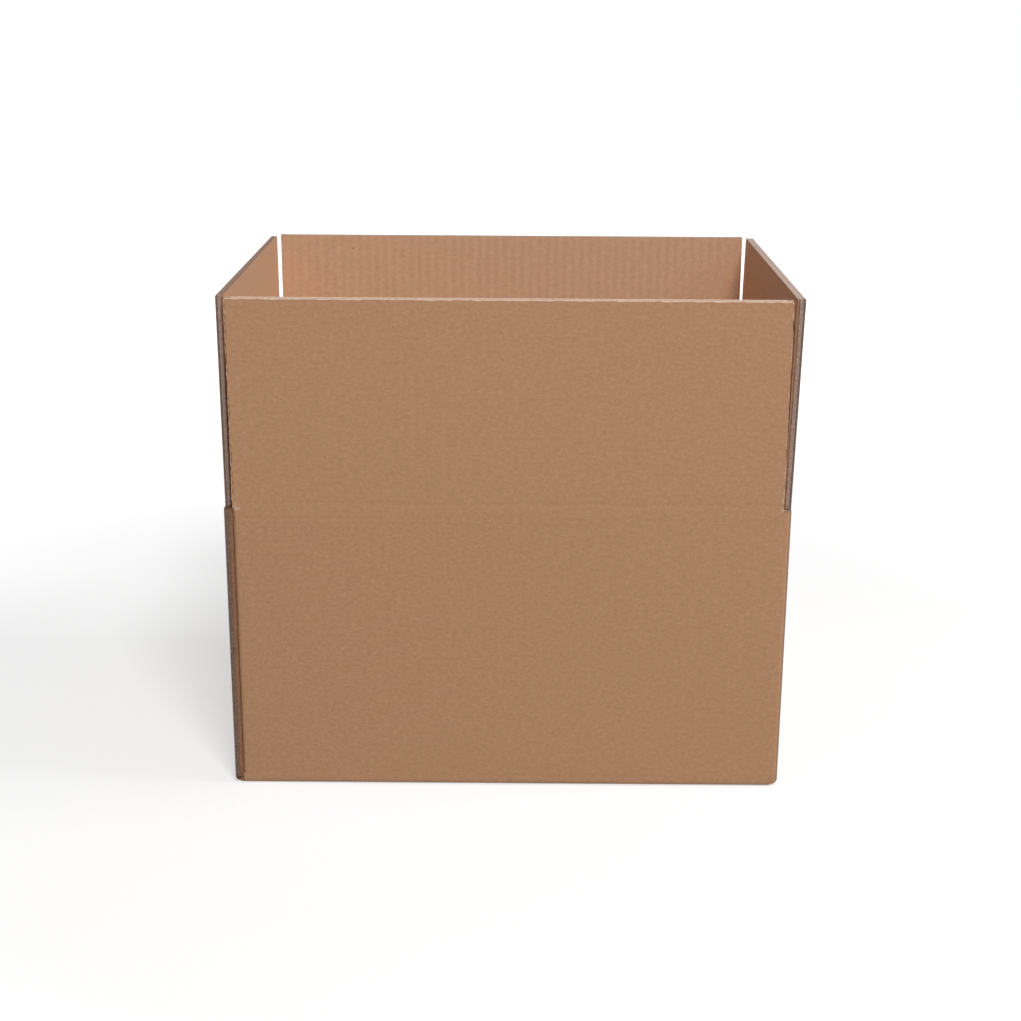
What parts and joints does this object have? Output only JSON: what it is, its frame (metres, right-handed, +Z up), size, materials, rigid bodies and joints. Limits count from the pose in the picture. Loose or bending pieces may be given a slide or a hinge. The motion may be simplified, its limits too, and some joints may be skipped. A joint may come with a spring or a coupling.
{
  "type": "open cardboard box",
  "caption": "Open shipping carton of double-wall corrugated board with a closed bottom and upright hinged top flaps.",
  "frame": {"origin": "middle of the base, on the surface that the carton stands on", "axes": "+X to the right along the long front wall, +Y from the front wall to the back wall, +Z up"},
  "size_m": [0.415, 0.3114, 0.3722],
  "materials": {
    "kraft_board": "matte",
    "kraft_flap_board": "matte"
  },
  "bodies": {
    "carton": {"box_body": "kraft_board"},
    "front_flap_body": {"front_flap": "kraft_flap_board"},
    "back_flap_body": {"back_flap": "kraft_flap_board"},
    "left_flap_body": {"left_flap": "kraft_flap_board"},
    "right_flap_body": {"right_flap": "kraft_flap_board"}
  },
  "joints": [
    {"name": "front_flap_fold", "type": "hinge", "parent": "carton", "child": "front_flap_body", "pos_m": [0, -0.156, 0.2166], "axis": [-1, 0, 0], "range_deg": [-175, 90]},
    {"name": "back_flap_fold", "type": "hinge", "parent": "carton", "child": "back_flap_body", "pos_m": [0, 0.156, 0.2166], "axis": [1, 0, 0], "range_deg": [-175, 90]},
    {"name": "left_flap_fold", "type": "hinge", "parent": "carton", "child": "left_flap_body", "pos_m": [-0.206, 0, 0.2106], "axis": [0, 1, 0], "range_deg": [-174.7, 90.3]},
    {"name": "right_flap_fold", "type": "hinge", "parent": "carton", "child": "right_flap_body", "pos_m": [0.206, 0, 0.2106], "axis": [0, -1, 0], "range_deg": [-174, 91]}
  ]
}
